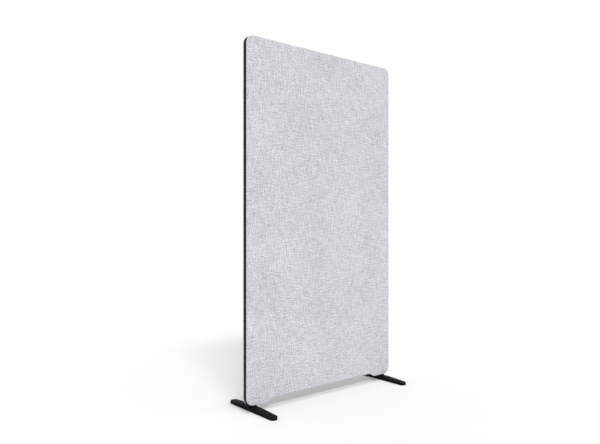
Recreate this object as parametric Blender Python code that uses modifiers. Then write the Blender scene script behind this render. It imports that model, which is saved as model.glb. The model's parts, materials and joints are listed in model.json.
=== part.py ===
"""Free-standing acoustic partition wall, modelled as it is assembled.

A timber frame, filled with two absorber slabs, is faced on both sides with a felt pad in a
stretched fabric cover. One black band, pressed into a groove, closes the edge all the way
round. The lower edge is raised between two ears, and each ear stands on a steel foot that is
bolted into the frame through a flange and a round post.

Metres, +Z up, front face towards -Y, origin on the floor under the middle of the panel.
"""

import math

import bmesh
import bpy
from mathutils import Matrix, Vector

# Panel, measured over the fabric
WIDTH = 1.000
HEIGHT = 1.800             # from the floor to the top edge
THICKNESS = 0.038
CORNER_RADIUS = 0.040
EAR_BOTTOM = 0.0315        # height of the lower edge under the two ears
RAISED_BOTTOM = 0.051      # height of the lower edge between the ears
EAR_LENGTH = 0.112         # from the end of the panel to where the lower edge starts to rise
RISE_LENGTH = 0.054        # length of the S-shaped rise

# Layers through the panel
FRAME_THICKNESS = 0.020
COVER_THICKNESS = 0.001
COVER_ROUNDING = 0.003     # radius of the cover's front edge
FIT_GAP = 0.0003           # between pieces that touch

# Edge band: a T section, its face on the frame's edge and its rib in a groove
BAND_FACE = 0.002
BAND_RIB = 0.003
BAND_DEPTH = 0.010         # from the outer face to the end of the rib
BAND_ROUNDING = 0.0006
GROOVE_WIDTH = BAND_RIB + 2 * FIT_GAP
GROOVE_DEPTH = BAND_DEPTH + 0.001

# Timber frame
STILE_WIDTH = 0.060
TOP_RAIL_WIDTH = 0.060
MIDDLE_RAIL_WIDTH = 0.045
MIDDLE_RAIL_HEIGHT = 0.930
FOOT_BLOCK_WIDTH = 0.170
FOOT_BLOCK_TOP = 0.135
SLAB_GAP = 0.001
SLAB_THICKNESS = 0.019
SLAB_ROUNDING = 0.002
DOWEL_RADIUS = 0.004
DOWEL_LENGTH = 0.040
DOWEL_SPACING = 0.026
DOWEL_END_GAP = 0.001
DOWEL_PLACE = 0.42         # share of a timber's width from its inner edge, clear of the groove

# Feet
FOOT_CENTRE = 0.453        # from the middle of the panel
FOOT_LENGTH = 0.360
FOOT_WIDTH = 0.040
FOOT_UNDERSIDE = 0.002
FOOT_TOP = 0.0216
FOOT_TIP_TOP = 0.0141
FOOT_FLAT = 0.084          # length of the level middle of the top
FOOT_EDGE = 0.0010
FLANGE_RADIUS = 0.0195
FLANGE_THICKNESS = 0.003
POST_RADIUS = 0.0175
SPACER_CHAMFER = 0.0005    # on the upper rim of flange and post
GLIDE_RADIUS = 0.012
GLIDE_THICKNESS = 0.004
GLIDE_CHAMFER = 0.0006
GLIDE_RECESS = GLIDE_THICKNESS - FOOT_UNDERSIDE + FIT_GAP
GLIDE_OFFSET = 0.145       # from the middle of the foot

# Foot bolts, M6
BOLT_SPACING = 0.018
BOLT_RADIUS = 0.003
BOLT_CLEARANCE = 0.0033    # radius of the holes that the bolts pass through
BOLT_TIP = 0.058
BOLT_CHAMFER = 0.0006
HEAD_RADIUS = 0.005
HEAD_BOTTOM = 0.0042
HEAD_HEIGHT = 0.0050
SOCKET_RADIUS = 0.0028
SOCKET_DEPTH = 0.0030
WASHER_RADIUS = 0.0058
WASHER_THICKNESS = 0.0010
COUNTERBORE_RADIUS = 0.0063
COUNTERBORE_TOP = HEAD_BOTTOM + HEAD_HEIGHT + WASHER_THICKNESS + 2 * FIT_GAP
INSERT_RADIUS = 0.005
INSERT_RIDGE = 0.0006
INSERT_RIDGES = 4
INSERT_BOTTOM = 0.0440
INSERT_LENGTH = 0.016

# Facets
CORNER_STEPS = 10
GROOVE_CORNER_STEPS = 8
RISE_STEPS = 5
ROUND_STEPS = 28
SMALL_STEPS = 12
END_STEPS = 16
HEXAGON = 6
ROUNDING_STEPS = 2
SHARP_ANGLE = math.radians(35)
WELD_DISTANCE = 0.00001

UPRIGHT = math.pi / 2      # turn about X that stands a flat plate up


# ---------------------------------------------------------------- scene and materials

def clear_scene():
    for item in list(bpy.data.objects):
        bpy.data.objects.remove(item, do_unlink=True)


def new_collection(name):
    collection = bpy.data.collections.new(name)
    bpy.context.scene.collection.children.link(collection)
    return collection


def new_material(name, colour, roughness, metallic=0.0):
    material = bpy.data.materials.new(name)
    material.use_nodes = True
    shader = material.node_tree.nodes["Principled BSDF"]
    shader.inputs["Base Color"].default_value = (*colour, 1.0)
    shader.inputs["Roughness"].default_value = roughness
    shader.inputs["Metallic"].default_value = metallic
    material.diffuse_color = (*colour, 1.0)
    return material


clear_scene()
PARTS = new_collection("partition_wall")
CUTTERS = new_collection("cutters")
FABRIC = new_material("grey_melange_fabric", (0.60, 0.60, 0.64), 0.95)
FELT = new_material("white_felt", (0.72, 0.71, 0.69), 0.95)
MINERAL = new_material("absorber_fibre", (0.55, 0.52, 0.42), 1.00)
TIMBER = new_material("birch_timber", (0.62, 0.46, 0.28), 0.70)
BAND = new_material("black_edge_plastic", (0.020, 0.020, 0.022), 0.60)
PAINT = new_material("black_powder_coat", (0.018, 0.018, 0.020), 0.55)
STEEL = new_material("zinc_plated_steel", (0.60, 0.61, 0.63), 0.35, 1.0)
BRASS = new_material("insert_brass", (0.72, 0.55, 0.27), 0.40, 1.0)
RUBBER = new_material("black_rubber", (0.015, 0.015, 0.015), 0.80)


# ---------------------------------------------------------------- modelling helpers

def add_part(name, mesh, material, matrix=None):
    """Object for a sub-part, with its material and smooth shading."""
    part = bpy.data.objects.new(name, mesh)
    if matrix is not None:
        part.matrix_world = matrix
    mesh.materials.clear()
    mesh.materials.append(material)
    mesh.shade_smooth()
    mesh.set_sharp_from_angle(angle=SHARP_ANGLE)
    PARTS.objects.link(part)
    return part


def add_cutter(name, mesh, matrix=None):
    """Object that only cuts other objects."""
    cutter = bpy.data.objects.new(name, mesh)
    if matrix is not None:
        cutter.matrix_world = matrix
    cutter.hide_render = True
    cutter.display_type = "WIRE"
    CUTTERS.objects.link(cutter)
    return cutter


def boolean(part, cutter, operation="DIFFERENCE"):
    modifier = part.modifiers.new(operation.lower() + "_" + cutter.name, "BOOLEAN")
    modifier.operation = operation
    modifier.object = cutter


def bevel(part, width):
    modifier = part.modifiers.new("rounded_edges", "BEVEL")
    modifier.width = width
    modifier.segments = ROUNDING_STEPS
    modifier.limit_method = "ANGLE"
    modifier.angle_limit = SHARP_ANGLE


def flat_curve(name, outlines, cyclic=True):
    """Curve of straight stretches in its own XY plane."""
    curve = bpy.data.curves.new(name, "CURVE")
    curve.dimensions = "2D"
    for outline in outlines:
        spline = curve.splines.new("POLY")
        spline.points.add(len(outline) - 1)
        for point, (x, y) in zip(spline.points, outline):
            point.co = (x, y, 0, 1)
        spline.use_cyclic_u = cyclic
    return curve


def curve_to_mesh(name, curve, location, rotation):
    """Closed mesh of a curve, and the placement that its object had."""
    guide = bpy.data.objects.new(name, curve)
    guide.location = location
    guide.rotation_euler = rotation
    PARTS.objects.link(guide)
    bpy.context.view_layer.update()
    matrix = guide.matrix_world.copy()
    evaluated = guide.evaluated_get(bpy.context.evaluated_depsgraph_get())
    mesh = bpy.data.meshes.new_from_object(evaluated)
    mesh.name = name
    bpy.data.objects.remove(guide)
    bpy.data.curves.remove(curve)
    body = bmesh.new()
    body.from_mesh(mesh)
    bmesh.ops.remove_doubles(body, verts=body.verts, dist=WELD_DISTANCE)
    body.to_mesh(mesh)
    body.free()
    return mesh, matrix


def plate_mesh(name, outlines, thickness, location=(0, 0, 0), rotation=(0, 0, 0)):
    """Mesh and placement of a flat plate. The first outline is its edge, the others are holes."""
    curve = flat_curve(name, outlines)
    curve.fill_mode = "BOTH"
    curve.extrude = thickness / 2
    return curve_to_mesh(name, curve, location, rotation)


def swept_mesh(name, path, section, rotation):
    """Mesh and placement of a closed section carried along an open path, with flat ends."""
    section_curve = flat_curve(name + "_section", [section])
    guide = bpy.data.objects.new(name + "_section", section_curve)
    curve = flat_curve(name, [path], cyclic=False)
    curve.bevel_mode = "OBJECT"
    curve.bevel_object = guide
    curve.use_fill_caps = True
    result = curve_to_mesh(name, curve, (0, 0, 0), rotation)
    bpy.data.objects.remove(guide)
    bpy.data.curves.remove(section_curve)
    return result


def round_front_edge(mesh, thickness, radius):
    """Round the rim of a plate on its +Z side."""
    body = bmesh.new()
    body.from_mesh(mesh)
    rim = [edge for edge in body.edges
           if all(vert.co.z > thickness / 2 - WELD_DISTANCE for vert in edge.verts)
           and edge.calc_face_angle(0) > SHARP_ANGLE]
    bmesh.ops.bevel(body, geom=rim, offset=radius, segments=ROUNDING_STEPS, profile=0.5,
                    affect="EDGES", clamp_overlap=False)
    body.to_mesh(mesh)
    body.free()


def box_mesh(name, low, high):
    """Box between two opposite corners."""
    body = bmesh.new()
    size = Vector(high) - Vector(low)
    middle = (Vector(high) + Vector(low)) / 2
    bmesh.ops.create_cube(body, size=1.0, matrix=Matrix.Translation(middle) @ Matrix.Diagonal((*size, 1.0)))
    mesh = bpy.data.meshes.new(name)
    body.to_mesh(mesh)
    body.free()
    return mesh


def rods_mesh(name, rods, steps):
    """Separate round rods, each given as its two end points and its radius."""
    body = bmesh.new()
    for start, end, radius in rods:
        start = Vector(start)
        end = Vector(end)
        turn = (end - start).to_track_quat("Z", "Y").to_matrix().to_4x4()
        placed = Matrix.Translation((start + end) / 2) @ turn
        bmesh.ops.create_cone(body, cap_ends=True, segments=steps, radius1=radius, radius2=radius,
                              depth=(end - start).length, matrix=placed)
    mesh = bpy.data.meshes.new(name)
    body.to_mesh(mesh)
    body.free()
    return mesh


def turned_part(name, profile, closed, location, material, steps):
    """Part turned about Z from a profile of (radius, height), outer side from top to bottom."""
    count = len(profile)
    edges = [(index, index + 1) for index in range(count - 1)]
    if closed:
        edges.append((count - 1, 0))
    mesh = bpy.data.meshes.new(name)
    mesh.from_pydata([(radius, 0, height) for radius, height in profile], edges, [])
    part = add_part(name, mesh, material)
    part.location = location
    screw = part.modifiers.new("turned", "SCREW")
    screw.steps = steps
    screw.render_steps = steps
    screw.use_merge_vertices = True
    screw.merge_threshold = WELD_DISTANCE
    screw.use_smooth_shade = True
    return part


def arc(centre, radius, start, end, steps):
    """Points from one angle to another in degrees, both ends included."""
    points = []
    for step in range(steps + 1):
        angle = math.radians(start + (end - start) * step / steps)
        points.append((centre[0] + radius * math.cos(angle), centre[1] + radius * math.sin(angle)))
    return points


def panel_outline(inset, corner_steps=CORNER_STEPS):
    """Outline of the panel as (x, z), moved inwards by inset, from the lower edge round to the left."""
    rise = RAISED_BOTTOM - EAR_BOTTOM
    radius = (RISE_LENGTH ** 2 + rise ** 2) / (4 * rise)
    sweep = 2 * math.degrees(math.atan2(rise, RISE_LENGTH))
    half = WIDTH / 2
    corner = CORNER_RADIUS - inset
    ear_start = (half - EAR_LENGTH, EAR_BOTTOM + radius)
    rise_start = (half - EAR_LENGTH - RISE_LENGTH, RAISED_BOTTOM - radius)
    lower_corner = (half - CORNER_RADIUS, EAR_BOTTOM + CORNER_RADIUS)
    upper_corner = (half - CORNER_RADIUS, HEIGHT - CORNER_RADIUS)
    right = arc(rise_start, radius + inset, 90, 90 - sweep, RISE_STEPS)
    right += arc(ear_start, radius - inset, 270 - sweep, 270, RISE_STEPS)[1:]
    right += arc(lower_corner, corner, -90, 0, corner_steps)
    right += arc(upper_corner, corner, 0, 90, corner_steps)
    return right + [(-x, z) for x, z in reversed(right)]


def stadium(length, width, steps):
    """Outline with round ends, its length along the second axis."""
    radius = width / 2
    straight = length / 2 - radius
    return arc((0, straight), radius, 0, 180, steps) + arc((0, -straight), radius, 180, 360, steps)


# ---------------------------------------------------------------- where the pieces meet

STILE_EDGE = WIDTH / 2 - STILE_WIDTH
BLOCK_EDGE = WIDTH / 2 - FOOT_BLOCK_WIDTH
TOP_RAIL_EDGE = HEIGHT - TOP_RAIL_WIDTH
MIDDLE_RAIL_LOW = MIDDLE_RAIL_HEIGHT - MIDDLE_RAIL_WIDTH / 2
MIDDLE_RAIL_HIGH = MIDDLE_RAIL_HEIGHT + MIDDLE_RAIL_WIDTH / 2
FRAME_INSET = BAND_FACE + FIT_GAP
PAD_INSET = COVER_THICKNESS + FIT_GAP
LAYER_START = FRAME_THICKNESS / 2 + FIT_GAP
COVER_FACE = THICKNESS / 2
PAD_FACE = COVER_FACE - COVER_THICKNESS - FIT_GAP
BEYOND = 0.1               # how far a cutter runs past the panel
SIDES = {"left": -1, "right": 1}
FACES = {"front": 0.0, "rear": math.pi}


def dowel_rods(radius, length):
    """Every dowel of the frame by name, as its end points and radius."""
    rods = {}
    for side, sign in SIDES.items():
        joints = {
            "top": (STILE_EDGE, TOP_RAIL_EDGE + TOP_RAIL_WIDTH * DOWEL_PLACE, (1, 0, 0)),
            "middle": (STILE_EDGE, MIDDLE_RAIL_HEIGHT, (1, 0, 0)),
            "bottom": (BLOCK_EDGE, (RAISED_BOTTOM + GROOVE_DEPTH + FOOT_BLOCK_TOP) / 2, (1, 0, 0)),
            "stile": (STILE_EDGE + STILE_WIDTH * DOWEL_PLACE, FOOT_BLOCK_TOP, (0, 0, 1)),
        }
        for joint, (x, z, along) in joints.items():
            for number, step in enumerate((-0.5, 0.5), start=1):
                shift = Vector((along[2], 0, along[0])) * step * DOWEL_SPACING
                centre = Vector((sign * x, 0, z)) + shift
                reach = Vector(along) * length / 2
                rods[f"{side}_{joint}_dowel_{number}"] = (centre - reach, centre + reach, radius)
    return rods


def bolt_places():
    """Middle of every foot bolt in (x, y), by its side and its number there."""
    places = {}
    for side, sign in SIDES.items():
        for number, step in enumerate((-0.5, 0.5), start=1):
            places[side, number] = (sign * FOOT_CENTRE + step * BOLT_SPACING, 0)
    return places


def glide_places():
    """Middle of every rubber glide by name, in (x, y)."""
    places = {}
    for side, sign in SIDES.items():
        for end, step in {"front": -1, "rear": 1}.items():
            places[f"{side}_{end}_glide"] = (sign * FOOT_CENTRE, step * GLIDE_OFFSET)
    return places


def upright_bores(name, places, radius, low, high, steps):
    rods = [((x, y, low), (x, y, high), radius) for x, y in places.values()]
    return add_cutter(name, rods_mesh(name, rods, steps))


def make_cutters():
    """Everything that is cut out of more than one piece."""
    rims = [panel_outline(inset, GROOVE_CORNER_STEPS) for inset in (-BAND_FACE, GROOVE_DEPTH)]
    groove = plate_mesh("band_groove", rims, GROOVE_WIDTH, rotation=(UPRIGHT, 0, 0))
    dowels = dowel_rods(DOWEL_RADIUS + FIT_GAP, DOWEL_LENGTH + 2 * DOWEL_END_GAP).values()
    insert_hole = INSERT_RADIUS + FIT_GAP
    return {
        "groove": add_cutter("band_groove", *groove),
        "dowels": add_cutter("dowel_holes", rods_mesh("dowel_holes", dowels, SMALL_STEPS)),
        "bolts": upright_bores("bolt_holes", bolt_places(), BOLT_CLEARANCE,
                               -BEYOND, RAISED_BOTTOM, SMALL_STEPS),
        "heads": upright_bores("counterbores", bolt_places(), COUNTERBORE_RADIUS,
                               -BEYOND, COUNTERBORE_TOP, SMALL_STEPS),
        "inserts": upright_bores("insert_holes", bolt_places(), insert_hole,
                                 0, INSERT_BOTTOM + INSERT_LENGTH + DOWEL_END_GAP, SMALL_STEPS),
        "glides": upright_bores("glide_recesses", glide_places(), GLIDE_RADIUS + FIT_GAP,
                                -BEYOND, FOOT_UNDERSIDE + GLIDE_RECESS, ROUND_STEPS),
    }


CUT = make_cutters()


# ---------------------------------------------------------------- panel

def layer_plate(name, inset, front, back, rounding, turn):
    """Plate between two depths behind a face of the panel, its outer rim rounded."""
    thickness = front - back
    middle = (front + back) / 2
    location = (math.sin(turn) * middle, -math.cos(turn) * middle, 0)
    mesh, matrix = plate_mesh(name, [panel_outline(inset)], thickness, location, (UPRIGHT, 0, turn))
    round_front_edge(mesh, thickness, rounding)
    return mesh, matrix


def open_back(mesh):
    """Remove a plate's face on its -Z side."""
    body = bmesh.new()
    body.from_mesh(mesh)
    back = min(vert.co.z for vert in body.verts) + WELD_DISTANCE
    faces = [face for face in body.faces if all(vert.co.z < back for vert in face.verts)]
    bmesh.ops.delete(body, geom=faces, context="FACES")
    body.to_mesh(mesh)
    body.free()


def make_cover(face, turn):
    """Fabric skin, wrapped round the edge of its pad and open towards the frame."""
    name = f"{face}_fabric_cover"
    mesh, matrix = layer_plate(name, 0, COVER_FACE, LAYER_START, COVER_ROUNDING, turn)
    open_back(mesh)
    cover = add_part(name, mesh, FABRIC, matrix)
    skin = cover.modifiers.new("fabric_thickness", "SOLIDIFY")
    skin.thickness = COVER_THICKNESS
    skin.offset = -1
    skin.use_even_offset = True


def make_pad(face, turn):
    name = f"{face}_felt_pad"
    rounding = COVER_ROUNDING - PAD_INSET
    mesh, matrix = layer_plate(name, PAD_INSET, PAD_FACE, LAYER_START, rounding, turn)
    add_part(name, mesh, FELT, matrix)


def frame_piece(name, x_low, x_high, z_low, z_high, cutters):
    """Timber between four limits, its outer edges following the panel."""
    gap = FIT_GAP / 2
    blank = plate_mesh(name, [panel_outline(FRAME_INSET)], FRAME_THICKNESS, rotation=(UPRIGHT, 0, 0))
    piece = add_part(name, blank[0], TIMBER, blank[1])
    limits = box_mesh(name + "_limits", (x_low + gap, -FRAME_THICKNESS, z_low + gap),
                      (x_high - gap, FRAME_THICKNESS, z_high - gap))
    boolean(piece, add_cutter(name + "_limits", limits), "INTERSECT")
    for cutter in cutters:
        boolean(piece, CUT[cutter])


def make_frame():
    outside = WIDTH / 2 + BEYOND
    above = HEIGHT + BEYOND
    for side, sign in SIDES.items():
        stile = sorted((sign * STILE_EDGE, sign * outside))
        block = sorted((sign * BLOCK_EDGE, sign * outside))
        frame_piece(f"{side}_stile", *stile, FOOT_BLOCK_TOP, above, ["groove", "dowels"])
        frame_piece(f"{side}_foot_block", *block, 0, FOOT_BLOCK_TOP, ["groove", "dowels", "inserts"])
    frame_piece("top_rail", -STILE_EDGE, STILE_EDGE, TOP_RAIL_EDGE, above, ["groove", "dowels"])
    frame_piece("middle_rail", -STILE_EDGE, STILE_EDGE, MIDDLE_RAIL_LOW, MIDDLE_RAIL_HIGH, ["dowels"])
    frame_piece("bottom_rail", -BLOCK_EDGE, BLOCK_EDGE, 0, FOOT_BLOCK_TOP, ["groove", "dowels"])
    for name, (start, end, radius) in dowel_rods(DOWEL_RADIUS, DOWEL_LENGTH).items():
        add_part(name, rods_mesh(name, [(start, end, radius)], SMALL_STEPS), TIMBER)


def make_slabs():
    """Absorber slabs in the two openings of the frame."""
    half = STILE_EDGE - SLAB_GAP
    depth = SLAB_THICKNESS / 2
    openings = {
        "lower_absorber_slab": (FOOT_BLOCK_TOP, MIDDLE_RAIL_LOW),
        "upper_absorber_slab": (MIDDLE_RAIL_HIGH, TOP_RAIL_EDGE),
    }
    for name, (low, high) in openings.items():
        mesh = box_mesh(name, (-half, -depth, low + SLAB_GAP), (half, depth, high - SLAB_GAP))
        bevel(add_part(name, mesh, MINERAL), SLAB_ROUNDING)


def make_edge_band():
    """One band round the whole edge, its ends meeting under the middle of the panel."""
    face = FRAME_THICKNESS / 2
    rib = BAND_RIB / 2
    half_section = [
        (-BAND_DEPTH, rib), (-BAND_FACE, rib),
        (-BAND_FACE, face), (-BAND_ROUNDING, face), (0, face - BAND_ROUNDING),
    ]
    section = half_section + [(inwards, -across) for inwards, across in reversed(half_section)]
    ends = [(FIT_GAP / 2, RAISED_BOTTOM), (-FIT_GAP / 2, RAISED_BOTTOM)]
    path = ends[:1] + panel_outline(0) + ends[1:]
    mesh, matrix = swept_mesh("edge_band", path, section, (UPRIGHT, 0, 0))
    band = add_part("edge_band", mesh, BAND, matrix)
    boolean(band, CUT["bolts"])


# ---------------------------------------------------------------- feet

def foot_top_profile():
    """Side view of a foot as (y, z): level in the middle, falling straight to both tips."""
    tip = FOOT_LENGTH / 2
    level = FOOT_FLAT / 2
    fall = (FOOT_TOP - FOOT_TIP_TOP) / (tip - level)
    beyond = tip + FOOT_WIDTH
    low = FOOT_TOP - fall * (beyond - level)
    return [(-beyond, 0), (beyond, 0), (beyond, low), (level, FOOT_TOP), (-level, FOOT_TOP), (-beyond, low)]


def make_foot_bar(side, sign):
    name = f"{side}_foot_bar"
    blank = plate_mesh(name, [stadium(FOOT_LENGTH, FOOT_WIDTH, END_STEPS)], 2 * FOOT_TOP,
                       location=(sign * FOOT_CENTRE, 0, FOOT_UNDERSIDE + FOOT_TOP))
    bar = add_part(name, blank[0], PAINT, blank[1])
    profile = plate_mesh(name + "_profile", [foot_top_profile()], 2 * FOOT_WIDTH,
                         location=(sign * FOOT_CENTRE, 0, 0), rotation=(UPRIGHT, 0, UPRIGHT))
    boolean(bar, add_cutter(name + "_profile", *profile), "INTERSECT")
    bevel(bar, FOOT_EDGE)
    for cutter in ("bolts", "heads", "glides"):
        boolean(bar, CUT[cutter])


def make_spacer(name, sign, radius, low, high):
    """Round steel piece between the foot and the panel, with the two bolt holes."""
    profile = [
        (0, high), (radius - SPACER_CHAMFER, high), (radius, high - SPACER_CHAMFER),
        (radius, low), (0, low),
    ]
    spacer = turned_part(name, profile, False, (sign * FOOT_CENTRE, 0, 0), PAINT, ROUND_STEPS)
    boolean(spacer, CUT["bolts"])


def make_bolt(name, x, y):
    head_top = HEAD_BOTTOM + HEAD_HEIGHT
    profile = [
        (0, BOLT_TIP), (BOLT_RADIUS - BOLT_CHAMFER, BOLT_TIP), (BOLT_RADIUS, BOLT_TIP - BOLT_CHAMFER),
        (BOLT_RADIUS, head_top), (HEAD_RADIUS, head_top), (HEAD_RADIUS, HEAD_BOTTOM + BOLT_CHAMFER),
        (HEAD_RADIUS - BOLT_CHAMFER, HEAD_BOTTOM), (0, HEAD_BOTTOM),
    ]
    bolt = turned_part(name, profile, False, (x, y, 0), STEEL, SMALL_STEPS)
    socket = [((x, y, 0), (x, y, HEAD_BOTTOM + SOCKET_DEPTH), SOCKET_RADIUS)]
    boolean(bolt, add_cutter(name + "_socket", rods_mesh(name + "_socket", socket, HEXAGON)))


def make_washer(name, x, y):
    low = HEAD_BOTTOM + HEAD_HEIGHT + FIT_GAP
    high = low + WASHER_THICKNESS
    profile = [(BOLT_CLEARANCE, high), (WASHER_RADIUS, high), (WASHER_RADIUS, low), (BOLT_CLEARANCE, low)]
    turned_part(name, profile, True, (x, y, 0), STEEL, SMALL_STEPS)


def make_insert(name, x, y):
    """Threaded insert, its outside ridged to grip the timber."""
    high = INSERT_BOTTOM + INSERT_LENGTH
    pitch = INSERT_LENGTH / INSERT_RIDGES
    profile = [(BOLT_CLEARANCE, high)]
    for ridge in range(INSERT_RIDGES):
        profile.append((INSERT_RADIUS - INSERT_RIDGE, high - ridge * pitch))
        profile.append((INSERT_RADIUS, high - (ridge + 0.5) * pitch))
    profile += [(INSERT_RADIUS - INSERT_RIDGE, INSERT_BOTTOM), (BOLT_CLEARANCE, INSERT_BOTTOM)]
    turned_part(name, profile, True, (x, y, 0), BRASS, SMALL_STEPS)


def make_glide(name, x, y):
    """Round rubber pad that the foot stands on, set in a shallow recess."""
    profile = [
        (0, GLIDE_THICKNESS), (GLIDE_RADIUS, GLIDE_THICKNESS), (GLIDE_RADIUS, GLIDE_CHAMFER),
        (GLIDE_RADIUS - GLIDE_CHAMFER, 0), (0, 0),
    ]
    turned_part(name, profile, False, (x, y, 0), RUBBER, ROUND_STEPS)


def make_feet():
    flange_low = FOOT_TOP + FIT_GAP
    flange_high = flange_low + FLANGE_THICKNESS
    for side, sign in SIDES.items():
        make_foot_bar(side, sign)
        make_spacer(f"{side}_foot_flange", sign, FLANGE_RADIUS, flange_low, flange_high)
        make_spacer(f"{side}_foot_post", sign, POST_RADIUS, flange_high + FIT_GAP, EAR_BOTTOM - FIT_GAP)
    for (side, number), (x, y) in bolt_places().items():
        make_bolt(f"{side}_foot_bolt_{number}", x, y)
        make_washer(f"{side}_foot_washer_{number}", x, y)
        make_insert(f"{side}_foot_insert_{number}", x, y)
    for name, (x, y) in glide_places().items():
        make_glide(name, x, y)


for panel_face, half_turn in FACES.items():
    make_cover(panel_face, half_turn)
    make_pad(panel_face, half_turn)
make_frame()
make_slabs()
make_edge_band()
make_feet()
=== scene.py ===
"""Looks of a free-standing partition wall: fabric covers, felt and absorber in detail, finishes, light.

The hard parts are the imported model's own nodes with better materials. The soft parts replace
their plain solids. Metres, +Z up, front face towards -Y.
"""

import json
import math

import bmesh
import bpy
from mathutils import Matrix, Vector, noise

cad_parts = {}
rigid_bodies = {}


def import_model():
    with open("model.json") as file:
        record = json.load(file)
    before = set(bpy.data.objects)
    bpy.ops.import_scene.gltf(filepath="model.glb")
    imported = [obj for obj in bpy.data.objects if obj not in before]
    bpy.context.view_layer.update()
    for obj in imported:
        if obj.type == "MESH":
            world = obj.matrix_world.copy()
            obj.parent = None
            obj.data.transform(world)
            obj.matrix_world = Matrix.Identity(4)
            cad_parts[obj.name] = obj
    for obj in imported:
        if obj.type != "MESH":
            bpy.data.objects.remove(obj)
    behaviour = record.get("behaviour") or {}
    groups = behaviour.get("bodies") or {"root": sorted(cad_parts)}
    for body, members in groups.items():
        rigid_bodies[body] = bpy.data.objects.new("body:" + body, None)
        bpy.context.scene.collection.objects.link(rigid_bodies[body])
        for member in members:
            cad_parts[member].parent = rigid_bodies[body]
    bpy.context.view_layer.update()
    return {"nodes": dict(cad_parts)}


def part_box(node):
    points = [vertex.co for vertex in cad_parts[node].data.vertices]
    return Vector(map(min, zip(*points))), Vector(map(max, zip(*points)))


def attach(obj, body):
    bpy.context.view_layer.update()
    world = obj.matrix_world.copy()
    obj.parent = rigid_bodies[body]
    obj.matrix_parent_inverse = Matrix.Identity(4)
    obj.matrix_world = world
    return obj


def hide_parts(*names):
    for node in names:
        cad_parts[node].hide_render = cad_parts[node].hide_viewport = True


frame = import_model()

# Shape of the panel's outline, as the frame has it
CORNER_RADIUS = 0.040
EAR_LENGTH = 0.112         # from the end of the panel to where the lower edge starts to rise
RISE_LENGTH = 0.054
RISE_HEIGHT = 0.0195

# Fabric covers
CLOTH_THICKNESS = 0.0008
FACE_ROUNDING = 0.0030     # radius where the cloth turns from the face to the side
BACK_ROUNDING = 0.0012     # radius where it turns in behind the pad
HEM_LENGTH = 0.016
HEM_CELLS = 4
TENSION_DEPTH = 0.00025    # depth of the faint unevenness of the stretched face
TENSION_WAVES = 5          # its waves in a metre, roughly
TENSION_SEED = 3.0         # far enough from 0 that front and rear get unlike waves

# Pads and slabs
PAD_ROUNDING = 0.0018
REBATE_DEPTH = 0.0012      # room for the hem behind the pad
REBATE_WIDTH = 0.018
REBATE_OUTER_EASING = 0.0004
REBATE_INNER_EASING = 0.0006
SLAB_ROUNDING = 0.0025
SLAB_ROUNDING_STEPS = 3
SLAB_SHARP_ANGLE = 1.0     # radians; only the slab's own twelve edges are sharper
SLAB_CELLS = ((0, 44), (2, 40), (1, 2))      # cells along each axis, X, Z and then Y
SLAB_ROUGHNESS = 0.0004    # mean depth of the uneven surface
SLAB_BUMPS = 45            # in a metre, roughly

# Mesh density
CORNER_CELLS = 8           # in half a corner
RISE_CELLS = 12
CELL = 0.020
ROUNDING_STEPS = 6

# Camera
CAMERA_PLACE = (-2.0779, -2.2959, 0.903)
CAMERA_TURN = -39.9        # degrees about Z
LENS = 35.0
SENSOR = 36.0
CAMERA_SHIFT = 0.0019

# Key light: one wide source, made of three distant lamps side by side
KEY_SIDEWAYS = (-0.30, -0.46, -0.66)
KEY_FORWARD = -1.00
KEY_RISE = 1.19
KEY_STRENGTH = 0.54
KEY_WIDTH = 11             # degrees

# The other distant lamps as (direction the light comes from, strength, width in degrees)
OVERHEAD = ((0.0, -0.10, 1.0), 0.75, 5)
REAR_FILL = ((0.55, 1.00, 0.50), 0.35, 50)
LAMP_DISTANCE = 3.0        # only keeps the lamps apart; a distant lamp lights alike from anywhere

# Surroundings and floor
AMBIENT = 0.92             # as a light
BACKDROP = 1.02            # as the camera sees it
FLOOR_WHITE = 0.66
FLOOR_CLOUD = 0.005        # how far the floor's white strays either way
FLOOR_CLOUD_SCALE = 0.7
FLOOR_SIZE = 400.0
FLOOR_CELLS = 8
FLOOR_NAME = "studio_floor"


# ---------------------------------------------------------------- node helpers

# Places of a Mix node's sockets when it mixes colours
MIX_AMOUNT, MIX_FIRST, MIX_SECOND = 0, 6, 7
MIX_RESULT = 2


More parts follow.
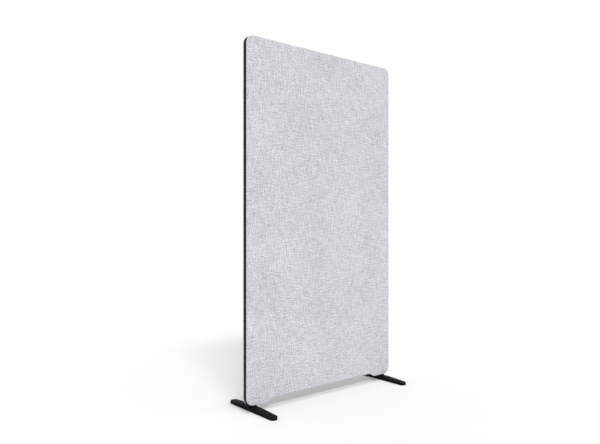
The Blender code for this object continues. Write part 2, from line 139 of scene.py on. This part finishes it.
class Shader:
    """A new material and short ways to add nodes to it."""

    def __init__(self, name, colour, roughness, metallic=0.0):
        self.material = bpy.data.materials.new(name)
        self.material.use_nodes = True
        self.tree = self.material.node_tree
        self.surface = self.tree.nodes["Principled BSDF"]
        self.set("Base Color", (*colour, 1.0))
        self.set("Roughness", roughness)
        self.set("Metallic", metallic)

    def set(self, socket, value):
        self.surface.inputs[socket].default_value = value

    def node(self, kind, **values):
        made = self.tree.nodes.new(kind)
        for key, value in values.items():
            setattr(made, key, value)
        return made

    def connect(self, source, socket):
        """Link another node's output to an input, or give the input a plain value."""
        if isinstance(source, bpy.types.NodeSocket):
            self.tree.links.new(source, socket)
        else:
            socket.default_value = source

    def feed(self, node, **sources):
        """Connect inputs of a node, by name with _ for a space."""
        for key, source in sources.items():
            self.connect(source, node.inputs[key.replace("_", " ")])

    def place(self, scale=(1, 1, 1), turn=(0, 0, 0), cloth=False):
        """Position on the object in metres, or on its flat cloth, scaled."""
        if cloth:
            source = self.node("ShaderNodeUVMap", uv_map="cloth").outputs["UV"]
        else:
            source = self.node("ShaderNodeTexCoord").outputs["Object"]
        mapping = self.node("ShaderNodeMapping")
        self.feed(mapping, Vector=source, Scale=scale, Rotation=turn)
        return mapping.outputs["Vector"]

    def noise(self, vector, scale=1.0, detail=2.0, roughness=0.5, distortion=0.0):
        made = self.node("ShaderNodeTexNoise")
        self.feed(made, Vector=vector, Scale=scale, Detail=detail, Roughness=roughness, Distortion=distortion)
        return made.outputs["Fac"]

    def maths(self, operation, first, second=0.0, third=0.0):
        made = self.node("ShaderNodeMath", operation=operation)
        for socket, source in zip(made.inputs, (first, second, third)):
            self.connect(source, socket)
        return made.outputs[0]

    def spread(self, value, low, high, bottom=0.0, top=1.0):
        """Value between low and high, carried over to bottom and top."""
        made = self.node("ShaderNodeMapRange")
        self.feed(made, Value=value, From_Min=low, From_Max=high, To_Min=bottom, To_Max=top)
        return made.outputs["Result"]

    def blend(self, amount, first, second):
        """Colour between two colours, each a socket or (red, green, blue)."""
        made = self.node("ShaderNodeMix", data_type="RGBA")
        self.connect(amount, made.inputs[MIX_AMOUNT])
        for index, source in ((MIX_FIRST, first), (MIX_SECOND, second)):
            colour = (*source, 1.0) if isinstance(source, tuple) else source
            self.connect(colour, made.inputs[index])
        return made.outputs[MIX_RESULT]

    def relief(self, height, depth, strength=1.0):
        """Bump of the given depth in metres, on top of any that is there."""
        made = self.node("ShaderNodeBump")
        self.feed(made, Height=height, Distance=depth, Strength=strength)
        socket = self.surface.inputs["Normal"]
        if socket.is_linked:
            self.feed(made, Normal=socket.links[0].from_socket)
        self.tree.links.new(made.outputs["Normal"], socket)

    def colour(self, source):
        self.tree.links.new(source, self.surface.inputs["Base Color"])

    def gloss(self, source):
        self.tree.links.new(source, self.surface.inputs["Roughness"])


# ---------------------------------------------------------------- materials

YARN = 0.0013              # spacing of the yarns
FLECK = 0.0042             # size of the finest flecks
STREAK_WIDTH = 0.0040
STREAK_LENGTH = 0.060      # how far one shade runs along a yarn
PATCH = 0.260              # size of the faint clouds
LATTICE_SLANT = (0, 0, 0.6)     # turns the noise off the yarns, so that its cells don't show

# How much each of them changes the shade, and the shades it runs between
CROSSING_WEIGHT = 0.8
FLECK_WEIGHT = 2.4
WARP_WEIGHT = 0.95
WEFT_WEIGHT = 0.88
PATCH_WEIGHT = 0.24
DARK_SHADE = (0.256, 0.253, 0.269)
LIGHT_SHADE = (0.735, 0.728, 0.776)

# Relief of the cloth
WEAVE_DEPTH = 0.00018
FUZZ_DEPTH = 0.00012
FUZZ_SCALE = 900.0


def cloth_noise(shader, across, along, detail=2.0):
    """Noise on the flat cloth, its spots of the given size along weft and warp."""
    return shader.noise(shader.place((1 / across, 1 / along, 1), LATTICE_SLANT, cloth=True), detail=detail)


def fabric_material():
    """Grey melange weave: yarns of uneven colour, crossing over and under."""
    shader = Shader("grey_melange_weave", (0.61, 0.605, 0.645), 0.95)
    shader.set("Specular IOR Level", 0.15)
    shader.set("Sheen Weight", 0.06)
    shader.set("Sheen Roughness", 0.5)
    flat = shader.place(cloth=True)
    axes = shader.node("ShaderNodeSeparateXYZ")
    shader.feed(axes, Vector=flat)
    across = shader.maths("DIVIDE", axes.outputs["X"], YARN)
    along = shader.maths("DIVIDE", axes.outputs["Y"], YARN)

    # Which yarn lies on top: one cell in two is warp, the other weft
    cells = shader.maths("ADD", shader.maths("FLOOR", across), shader.maths("FLOOR", along))
    on_top = shader.maths("ABSOLUTE", shader.maths("MODULO", cells, 2.0))

    # Melange: light and dark fibres spun together, so that the shade runs along each yarn
    flecks = cloth_noise(shader, FLECK, FLECK, detail=1.0)
    warp = cloth_noise(shader, STREAK_WIDTH, STREAK_LENGTH)
    weft = cloth_noise(shader, STREAK_LENGTH, STREAK_WIDTH)
    patches = cloth_noise(shader, PATCH, PATCH)
    sign = shader.maths("SUBTRACT", shader.maths("MULTIPLY", on_top, 2.0), 1.0)
    own = shader.maths("MULTIPLY", shader.maths("SUBTRACT", warp, weft), sign)
    tone = shader.maths("ADD", shader.maths("MULTIPLY", own, CROSSING_WEIGHT), 0.5)
    weights = ((flecks, FLECK_WEIGHT), (warp, WARP_WEIGHT), (weft, WEFT_WEIGHT), (patches, PATCH_WEIGHT))
    for source, weight in weights:
        shift = shader.maths("SUBTRACT", source, 0.5)
        tone = shader.maths("MULTIPLY_ADD", shift, weight, tone)
    shader.colour(shader.blend(shader.spread(tone, 0.0, 1.0), DARK_SHADE, LIGHT_SHADE))

    # Relief of the weave, and a soft fuzz over it
    ridge_a = shader.maths("ABSOLUTE", shader.maths("SINE", shader.maths("MULTIPLY", across, math.pi)))
    ridge_b = shader.maths("ABSOLUTE", shader.maths("SINE", shader.maths("MULTIPLY", along, math.pi)))
    height = shader.maths("MULTIPLY_ADD", on_top, shader.maths("SUBTRACT", ridge_a, ridge_b), ridge_b)
    shader.relief(height, WEAVE_DEPTH, 0.5)
    shader.relief(shader.noise(flat, FUZZ_SCALE, 2.0), FUZZ_DEPTH, 0.4)
    shader.gloss(shader.spread(flecks, 0.2, 0.8, 0.88, 1.0))
    return shader.material


def edge_plastic_material():
    """Matt black moulded band with a fine grain and a faint cloudy tone."""
    shader = Shader("matt_black_edge_plastic", (0.006, 0.006, 0.007), 0.5)
    shader.set("Specular IOR Level", 0.08)
    grain = shader.noise(shader.place(), 1400.0, 3.0)
    cloud = shader.noise(shader.place(), 9.0, 3.0)
    shader.colour(shader.blend(cloud, (0.005, 0.005, 0.006), (0.008, 0.008, 0.009)))
    shader.gloss(shader.spread(cloud, 0.3, 0.7, 0.46, 0.58))
    shader.relief(grain, 0.00004, 0.5)
    return shader.material


def powder_coat_material():
    """Black powder coat: fine orange peel, a little paler along its edges."""
    shader = Shader("black_powder_coat_fine", (0.005, 0.005, 0.006), 0.5)
    shader.set("Specular IOR Level", 0.02)
    peel = shader.noise(shader.place(), 1100.0, 2.0)
    cloud = shader.noise(shader.place(), 14.0, 4.0)
    edge = shader.spread(shader.node("ShaderNodeNewGeometry").outputs["Pointiness"], 0.50, 0.56)
    base = shader.blend(cloud, (0.004, 0.004, 0.005), (0.006, 0.006, 0.007))
    shader.colour(shader.blend(shader.maths("MULTIPLY", edge, 0.4), base, (0.012, 0.012, 0.013)))
    shader.gloss(shader.spread(cloud, 0.3, 0.7, 0.45, 0.55))
    shader.relief(peel, 0.00006, 0.5)
    return shader.material


def rubber_material():
    shader = Shader("black_glide_rubber", (0.012, 0.012, 0.012), 0.8)
    cloud = shader.noise(shader.place(), 160.0, 4.0)
    shader.colour(shader.blend(cloud, (0.008, 0.008, 0.008), (0.022, 0.022, 0.021)))
    shader.gloss(shader.spread(cloud, 0.3, 0.7, 0.72, 0.9))
    shader.relief(shader.noise(shader.place(), 2600.0, 2.0), 0.00005, 0.6)
    return shader.material


def timber_material(name, stretch):
    """Planed birch, its grain along the axis whose stretch is the smallest."""
    shader = Shader(name, (0.62, 0.46, 0.28), 0.6)
    figure = shader.noise(shader.place(stretch), 1.0, 4.0, 0.55, 0.6)
    pores = shader.noise(shader.place(tuple(9 * value for value in stretch)), 1.0, 3.0, 0.6)
    rings = shader.maths("FRACT", shader.maths("MULTIPLY", figure, 7.0))
    late = shader.maths("POWER", rings, 3.0)
    light = shader.blend(late, (0.68, 0.52, 0.33), (0.52, 0.36, 0.20))
    shader.colour(shader.blend(shader.spread(pores, 0.45, 0.75, 0.0, 0.6), light, (0.40, 0.27, 0.15)))
    shader.gloss(shader.spread(pores, 0.3, 0.7, 0.52, 0.74))
    shader.relief(pores, 0.00012, 0.5)
    return shader.material


def felt_material():
    """Pressed white felt: fibres lying every way, a few of them darker."""
    shader = Shader("pressed_white_felt", (0.72, 0.71, 0.69), 0.95)
    shader.set("Sheen Weight", 0.15)
    fibres = shader.noise(shader.place((1, 1, 0.35), (0.3, 0, 0.4)), 700.0, 5.0, 0.7, 1.5)
    more = shader.noise(shader.place((0.3, 1, 1), (0, 0.5, 0.2)), 520.0, 5.0, 0.7, 1.5)
    mixed = shader.maths("ADD", shader.maths("MULTIPLY", fibres, 0.5), shader.maths("MULTIPLY", more, 0.5))
    shader.colour(shader.blend(shader.spread(mixed, 0.35, 0.65), (0.60, 0.59, 0.56), (0.80, 0.79, 0.77)))
    shader.gloss(shader.spread(mixed, 0.3, 0.7, 0.9, 1.0))
    shader.relief(mixed, 0.0004, 0.6)
    return shader.material


def absorber_material():
    """Mineral fibre slab: laid fibres in layers, with binder specks."""
    shader = Shader("layered_mineral_fibre", (0.55, 0.52, 0.42), 1.0)
    layers = shader.noise(shader.place((60, 900, 60)), 1.0, 4.0, 0.6, 0.8)
    fibres = shader.noise(shader.place((500, 500, 90)), 1.0, 4.0, 0.7, 2.0)
    specks = shader.spread(shader.noise(shader.place(), 900.0, 1.0), 0.68, 0.74)
    mixed = shader.maths("ADD", shader.maths("MULTIPLY", layers, 0.5), shader.maths("MULTIPLY", fibres, 0.5))
    base = shader.blend(shader.spread(mixed, 0.35, 0.65), (0.42, 0.39, 0.29), (0.66, 0.63, 0.51))
    shader.colour(shader.blend(specks, base, (0.30, 0.24, 0.12)))
    shader.gloss(shader.spread(mixed, 0.3, 0.7, 0.92, 1.0))
    shader.relief(mixed, 0.0008, 0.8)
    return shader.material


def zinc_material():
    """Zinc plated steel: bright, a little blue, with faint turning marks."""
    shader = Shader("zinc_plated_steel_fine", (0.62, 0.64, 0.67), 0.32, 1.0)
    cloud = shader.noise(shader.place(), 500.0, 4.0)
    turning = shader.noise(shader.place((200, 200, 5200)), 1.0, 2.0)
    shader.colour(shader.blend(cloud, (0.55, 0.57, 0.62), (0.70, 0.70, 0.70)))
    shader.gloss(shader.spread(cloud, 0.3, 0.7, 0.25, 0.42))
    shader.relief(turning, 0.00003, 0.5)
    return shader.material


def brass_material():
    """Turned brass with tool marks round it."""
    shader = Shader("turned_brass", (0.72, 0.55, 0.27), 0.35, 1.0)
    cloud = shader.noise(shader.place(), 400.0, 4.0)
    turning = shader.noise(shader.place((150, 150, 6000)), 1.0, 2.0)
    shader.colour(shader.blend(cloud, (0.60, 0.43, 0.19), (0.80, 0.63, 0.33)))
    shader.gloss(shader.spread(cloud, 0.3, 0.7, 0.28, 0.46))
    shader.relief(turning, 0.00004, 0.6)
    return shader.material


GRAIN_ALONG_X = (6.0, 90.0, 90.0)
GRAIN_ALONG_Z = (90.0, 90.0, 6.0)
FABRIC = fabric_material()
FELT = felt_material()
MINERAL = absorber_material()
RAIL_TIMBER = timber_material("birch_grain_along_x", GRAIN_ALONG_X)
STILE_TIMBER = timber_material("birch_grain_along_z", GRAIN_ALONG_Z)
PLASTIC = edge_plastic_material()
PAINT = powder_coat_material()
RUBBER = rubber_material()
ZINC = zinc_material()
BRASS = brass_material()

# The first word of this list that a node's name holds gives its material
FINISHES = (
    ("stile_dowel", STILE_TIMBER), ("dowel", RAIL_TIMBER), ("rail", RAIL_TIMBER),
    ("stile", STILE_TIMBER), ("foot_block", RAIL_TIMBER), ("edge_band", PLASTIC),
    ("foot_bar", PAINT), ("foot_flange", PAINT), ("foot_post", PAINT),
    ("foot_bolt", ZINC), ("foot_washer", ZINC), ("foot_insert", BRASS), ("glide", RUBBER),
)


def finish_node(name):
    """Give a carried-over node its material."""
    for word, material in FINISHES:
        if word in name:
            for place in frame["nodes"][name].material_slots:
                place.material = material
            return


for node_name in frame["nodes"]:
    finish_node(node_name)


# ---------------------------------------------------------------- outline of the panel

COVER_LOW, COVER_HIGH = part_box("front_fabric_cover")
HALF = COVER_HIGH[0]
TOP_EDGE = COVER_HIGH[2]
EAR_EDGE = COVER_LOW[2]
RISE_RADIUS = (RISE_LENGTH ** 2 + RISE_HEIGHT ** 2) / (4 * RISE_HEIGHT)
RISE_SWEEP = 2 * math.atan2(RISE_HEIGHT, RISE_LENGTH)


def stretch(start, end, cells):
    """Values from start to end, the end left out."""
    return [start + (end - start) * step / cells for step in range(cells)]


def on_arc(centre_x, centre_z, radius, angle, hollow=False):
    """Edge point and outward direction as (x, z, out_x, out_z); hollow where the arc curves inwards."""
    x, z = math.cos(angle), math.sin(angle)
    out = -1 if hollow else 1
    return (centre_x + radius * x, centre_z + radius * z, out * x, out * z)


def lower_half_edge():
    """The right half of the lower edge, from the middle to half way round the corner."""
    flat_end = HALF - EAR_LENGTH - RISE_LENGTH
    ear_start = HALF - EAR_LENGTH
    corner = HALF - CORNER_RADIUS
    raised = EAR_EDGE + RISE_HEIGHT
    points = [(x, raised, 0, -1) for x in stretch(0, flat_end, round(flat_end / CELL))]
    for turn in stretch(0, RISE_SWEEP, RISE_CELLS):
        points.append(on_arc(flat_end, raised - RISE_RADIUS, RISE_RADIUS, math.pi / 2 - turn, hollow=True))
    for turn in stretch(RISE_SWEEP, 0, RISE_CELLS):
        points.append(on_arc(ear_start, EAR_EDGE + RISE_RADIUS, RISE_RADIUS, -math.pi / 2 - turn))
    points += [(x, EAR_EDGE, 0, -1) for x in stretch(ear_start, corner, round((corner - ear_start) / CELL))]
    for turn in stretch(0, math.pi / 4, CORNER_CELLS):
        points.append(on_arc(corner, EAR_EDGE + CORNER_RADIUS, CORNER_RADIUS, -math.pi / 2 + turn))
    return points


def side_edge():
    """The right-hand edge, from half way round the lower corner to half way round the upper one."""
    centre = HALF - CORNER_RADIUS
    low = EAR_EDGE + CORNER_RADIUS
    high = TOP_EDGE - CORNER_RADIUS
    points = [on_arc(centre, low, CORNER_RADIUS, turn) for turn in stretch(-math.pi / 4, 0, CORNER_CELLS)]
    points += [(HALF, z, 1, 0) for z in stretch(low, high, round((high - low) / CELL))]
    points += [on_arc(centre, high, CORNER_RADIUS, turn) for turn in stretch(0, math.pi / 4, CORNER_CELLS)]
    return points + [on_arc(centre, high, CORNER_RADIUS, math.pi / 4)]


def mirrored(points):
    return [(-x, z, -out_x, out_z) for x, z, out_x, out_z in points]


def upper_half_edge(lower):
    """The right half of the top edge, with as many points as the lower edge has."""
    centre = HALF - CORNER_RADIUS
    points = []
    for x, *_ in lower[:-CORNER_CELLS]:
        points.append((min(x, centre), TOP_EDGE, 0, 1))
    for turn in stretch(0, math.pi / 4, CORNER_CELLS):
        points.append(on_arc(centre, TOP_EDGE - CORNER_RADIUS, CORNER_RADIUS, math.pi / 2 - turn))
    return points


def whole_edge(right_half, corner):
    """A lower or upper edge from corner to corner, from its right half and its right-hand corner."""
    return mirrored([corner]) + mirrored(right_half[:0:-1]) + right_half + [corner]


LOWER_HALF = lower_half_edge()
RIGHT_SIDE = side_edge()
LEFT_SIDE = mirrored(RIGHT_SIDE)
LOWER_SIDE = whole_edge(LOWER_HALF, RIGHT_SIDE[0])
UPPER_SIDE = whole_edge(upper_half_edge(LOWER_HALF), RIGHT_SIDE[-1])
COLUMNS = len(LOWER_SIDE)
ROWS = len(RIGHT_SIDE)


def loop_cells():
    """Grid places (column, row) along the rim, once round from the lower left."""
    cells = [(column, 0) for column in range(COLUMNS - 1)]
    cells += [(COLUMNS - 1, row) for row in range(ROWS - 1)]
    cells += [(column, ROWS - 1) for column in range(COLUMNS - 1, 0, -1)]
    cells += [(0, row) for row in range(ROWS - 1, 0, -1)]
    return cells


def rim_point(column, row):
    """Outline point at a rim place of the grid."""
    if row == 0:
        return LOWER_SIDE[column]
    if row == ROWS - 1:
        return UPPER_SIDE[column]
    return LEFT_SIDE[row] if column == 0 else RIGHT_SIDE[row]


RIM = [rim_point(*cell) for cell in loop_cells()]


def inset_point(point, inset):
    x, z, out_x, out_z = point
    return Vector((x - inset * out_x, z - inset * out_z))


def grid_point(column, row, inset):
    """Point of the face grid, blended from its four edges."""
    low, high = (inset_point(edge[column], inset) for edge in (LOWER_SIDE, UPPER_SIDE))
    left, right = (inset_point(edge[row], inset) for edge in (LEFT_SIDE, RIGHT_SIDE))
    if row in (0, ROWS - 1):
        return low if row == 0 else high
    if column in (0, COLUMNS - 1):
        return left if column == 0 else right
    low_left, low_right = (inset_point(LOWER_SIDE[end], inset) for end in (0, -1))
    high_left, high_right = (inset_point(UPPER_SIDE[end], inset) for end in (0, -1))
    height = (left.y - low_left.y) / (high_left.y - low_left.y)
    width = ((low.x + high.x) / 2 - low_left.x) / (low_right.x - low_left.x)
    corners = (
        low_left * (1 - width) * (1 - height) + low_right * width * (1 - height)
        + high_left * (1 - width) * height + high_right * width * height
    )
    return low * (1 - height) + high * height + left * (1 - width) + right * width - corners


def new_piece(name, body, material):
    """Object in the scene, made from a bmesh, which it uses up."""
    mesh = bpy.data.meshes.new(name)
    body.to_mesh(mesh)
    body.free()
    mesh.materials.append(material)
    piece = bpy.data.objects.new(name, mesh)
    bpy.context.scene.collection.objects.link(piece)
    return piece


class Sheet:
    """Mesh of panel-shaped faces joined by strips round the rim, with the cloth's flat coordinates."""

    def __init__(self, facing):
        self.facing = facing       # -1 for the front of the panel, 1 for the rear
        self.body = bmesh.new()
        self.flat = self.body.loops.layers.uv.new("cloth")
        self.spot = {}

    def vertex(self, x, z, depth, flat_x, flat_z):
        made = self.body.verts.new((x, self.facing * depth, z))
        self.spot[made] = (flat_x, flat_z)
        return made

    def quad(self, corners, flip=False):
        turned = flip != (self.facing > 0)
        face = self.body.faces.new(corners[::-1] if turned else corners)
        face.smooth = True
        for loop in face.loops:
            loop[self.flat].uv = self.spot[loop.vert]

    def tension(self, point):
        """Unevenness of the stretched face at a point, between about -1 and 1."""
        x, z = point * TENSION_WAVES
        return noise.noise(Vector((x, TENSION_SEED * self.facing, z)))

    def face(self, inset, depth, uneven=0.0, flip=False):
        """A filled face; returns its rim vertices."""
        grid = {}
        for column in range(COLUMNS):
            for row in range(ROWS):
                point = grid_point(column, row, inset)
                rim = column in (0, COLUMNS - 1) or row in (0, ROWS - 1)
                wave = 0.0 if rim else uneven * self.tension(point)
                grid[column, row] = self.vertex(point.x, point.y, depth + wave, point.x, point.y)
        for column in range(COLUMNS - 1):
            for row in range(ROWS - 1):
                self.quad([grid[column, row], grid[column + 1, row],
                           grid[column + 1, row + 1], grid[column, row + 1]], flip)
        return [grid[cell] for cell in loop_cells()]

    def strip(self, rim, profile):
        """Rows of faces from a rim outwards and back, through (inset, depth) points; returns the last rim."""
        start_inset = profile[0][0]
        travelled = 0.0
        before = profile[0]
        for inset, depth in profile[1:]:
            travelled += math.hypot(inset - before[0], depth - before[1])
            before = (inset, depth)
            following = []
            for point in RIM:
                at = inset_point(point, inset)
                flat = inset_point(point, start_inset - travelled)
                following.append(self.vertex(at.x, at.y, depth, flat.x, flat.y))
            self.join(rim, following)
            rim = following
        return rim

    def join(self, rim, following):
        count = len(rim)
        for index in range(count):
            after = (index + 1) % count
            self.quad([rim[index], following[index], following[after], rim[after]])


def quarter(first_inset, first_depth, radius, from_face):
    """Points of a rounded edge as (inset, depth), depth measured from the middle of the panel."""
    points = []
    for step in range(1, ROUNDING_STEPS + 1):
        turn = math.pi / 2 * step / ROUNDING_STEPS
        across = radius * math.sin(turn)
        away = radius * (1 - math.cos(turn))
        if from_face:
            points.append((first_inset - across, first_depth - away))
        else:
            points.append((first_inset + away, first_depth - across))
    return points


# ---------------------------------------------------------------- fabric covers

def cover_profile(face_depth, back_depth):
    """Section of a cover from its face round the side to the end of its hem, as (inset, depth)."""
    start = (FACE_ROUNDING, face_depth)
    points = [start] + quarter(*start, FACE_ROUNDING, True)
    side_end = back_depth + BACK_ROUNDING
    middle = (points[-1][1] + side_end) / 2
    points += [(0.0, middle), (0.0, side_end)]
    points += quarter(0.0, side_end, BACK_ROUNDING, False)
    hem_start = points[-1][0]
    for step in range(1, HEM_CELLS + 1):
        points.append((hem_start + HEM_LENGTH * step / HEM_CELLS, back_depth))
    return points


def make_cover(side, facing):
    """A cover and the size that its cloth was cut to."""
    low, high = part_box(f"{side}_fabric_cover")
    back_depth, face_depth = sorted((abs(low[1]), abs(high[1])))
    profile = cover_profile(face_depth, back_depth)
    sheet = Sheet(facing)
    rim = sheet.face(FACE_ROUNDING, face_depth, TENSION_DEPTH)
    sheet.strip(rim, profile)
    piece = new_piece(f"{side}_melange_cover", sheet.body, FABRIC)
    skin = piece.modifiers.new("cloth_thickness", "SOLIDIFY")
    skin.thickness = CLOTH_THICKNESS
    skin.offset = -1
    skin.use_even_offset = True
    girth = sum(math.dist(first, second) for first, second in zip(profile, profile[1:])) - FACE_ROUNDING
    flat = (high[0] - low[0] + 2 * girth, high[2] - low[2] + 2 * girth)
    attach(piece, "root")
    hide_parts(f"{side}_fabric_cover")
    return piece, flat


# ---------------------------------------------------------------- felt pads

def make_pad(side, facing):
    """Felt board with rounded edges and a step behind for the cover's hem."""
    low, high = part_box(f"{side}_felt_pad")
    back_depth, face_depth = sorted((abs(low[1]), abs(high[1])))
    inset = HALF - high[0]
    start = (inset + PAD_ROUNDING, face_depth)
    step_depth = back_depth + REBATE_DEPTH
    rebate_end = inset + REBATE_WIDTH
    profile = [start] + quarter(*start, PAD_ROUNDING, True)
    profile += [(inset, step_depth + REBATE_OUTER_EASING), (inset + REBATE_OUTER_EASING, step_depth)]
    profile += [(rebate_end, step_depth), (rebate_end + REBATE_INNER_EASING, back_depth)]
    sheet = Sheet(facing)
    rim = sheet.face(start[0], face_depth, TENSION_DEPTH)
    rim = sheet.strip(rim, profile)
    back = sheet.face(profile[-1][0], back_depth, flip=True)
    bmesh.ops.weld_verts(sheet.body, targetmap=dict(zip(back, rim)))
    piece = new_piece(f"{side}_felt_board", sheet.body, FELT)
    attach(piece, "root")
    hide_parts(f"{side}_felt_pad")
    return piece


for panel_side, direction in (("front", -1), ("rear", 1)):
    pad = make_pad(panel_side, direction)
    cover, flat_size = make_cover(panel_side, direction)


# ---------------------------------------------------------------- absorber slabs

def make_slab(level):
    """Slab with softly broken edges and an uneven, fibrous surface."""
    node = f"{level}_absorber_slab"
    low, high = (Vector(corner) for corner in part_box(node))
    body = bmesh.new()
    bmesh.ops.create_cube(body, size=1.0)
    size = high - low
    for vertex in body.verts:
        vertex.co = Vector(a * b for a, b in zip(vertex.co, size)) + (low + high) / 2
    for axis, pieces in SLAB_CELLS:
        for cut in range(1, pieces):
            at = low[axis] + size[axis] * cut / pieces
            normal = Vector((0, 0, 0))
            normal[axis] = 1
            bmesh.ops.bisect_plane(body, geom=body.verts[:] + body.edges[:] + body.faces[:],
                                   plane_co=normal * at, plane_no=normal)
    rims = [edge for edge in body.edges if edge.calc_face_angle(0) > SLAB_SHARP_ANGLE]
    bmesh.ops.bevel(body, geom=rims, offset=SLAB_ROUNDING, segments=SLAB_ROUNDING_STEPS, profile=0.5,
                    affect="EDGES")
    body.normal_update()
    for vertex in body.verts:
        unevenness = 1 + noise.noise(vertex.co * SLAB_BUMPS)
        vertex.co -= vertex.normal * SLAB_ROUGHNESS * unevenness
    for face in body.faces:
        face.smooth = True
    piece = new_piece(f"{level}_fibre_slab", body, MINERAL)
    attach(piece, "root")
    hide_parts(node)


for slab_level in ("lower", "upper"):
    make_slab(slab_level)


# ---------------------------------------------------------------- floor, light and camera

def make_floor():
    shader = Shader("white_floor", (FLOOR_WHITE,) * 3, 1.0)
    shader.set("Specular IOR Level", 0.0)
    cloud = shader.noise(shader.place(), FLOOR_CLOUD_SCALE, 3.0)
    shader.colour(shader.blend(cloud, (FLOOR_WHITE - FLOOR_CLOUD,) * 3, (FLOOR_WHITE + FLOOR_CLOUD,) * 3))
    body = bmesh.new()
    bmesh.ops.create_grid(body, x_segments=FLOOR_CELLS, y_segments=FLOOR_CELLS, size=FLOOR_SIZE / 2)
    floor = new_piece(FLOOR_NAME, body, shader.material)


def make_lamp(name, direction, strength, width, only_on=None):
    """Distant lamp; only_on limits it to the objects of a collection."""
    lamp = bpy.data.lights.new(name, "SUN")
    lamp.energy = strength
    lamp.angle = math.radians(width)
    holder = bpy.data.objects.new(name, lamp)
    holder.rotation_euler = Vector(direction).to_track_quat("Z", "Y").to_euler()
    holder.location = Vector(direction) * LAMP_DISTANCE
    holder.light_linking.receiver_collection = only_on
    bpy.context.scene.collection.objects.link(holder)


def panel_collection():
    """The pieces that the rear fill lights: the panel's, not the floor or anything of the feet."""
    panel = bpy.data.collections.new("panel_pieces")
    for piece in bpy.context.scene.objects:
        if piece.type == "MESH" and piece.name != FLOOR_NAME and "_foot_" not in piece.name:
            panel.objects.link(piece)
    return panel


def make_world():
    """Even white surroundings: bright to the eye, gentler as a light."""
    world = bpy.data.worlds.new("studio")
    world.use_nodes = True
    tree = world.node_tree
    background = tree.nodes["Background"]
    path = tree.nodes.new("ShaderNodeLightPath")
    level = tree.nodes.new("ShaderNodeMapRange")
    level.inputs["To Min"].default_value = AMBIENT
    level.inputs["To Max"].default_value = BACKDROP
    tree.links.new(path.outputs["Is Camera Ray"], level.inputs["Value"])
    tree.links.new(level.outputs["Result"], background.inputs["Strength"])
    background.inputs["Color"].default_value = (1, 1, 1, 1)
    bpy.context.scene.world = world


def make_camera():
    data = bpy.data.cameras.new("camera")
    data.lens = LENS
    data.sensor_width = SENSOR
    data.shift_y = CAMERA_SHIFT
    camera = bpy.data.objects.new("camera", data)
    camera.location = CAMERA_PLACE
    camera.rotation_euler = (math.pi / 2, 0, math.radians(CAMERA_TURN))
    bpy.context.scene.collection.objects.link(camera)
    bpy.context.scene.camera = camera


make_floor()
for number, sideways in enumerate(KEY_SIDEWAYS, start=1):
    make_lamp(f"key_{number}", (sideways, KEY_FORWARD, KEY_RISE), KEY_STRENGTH, KEY_WIDTH)
make_lamp("overhead", *OVERHEAD)
make_lamp("rear_fill", *REAR_FILL, only_on=panel_collection())
make_world()
make_camera()
bpy.context.scene.view_settings.view_transform = "Standard"
bpy.context.view_layer.update()
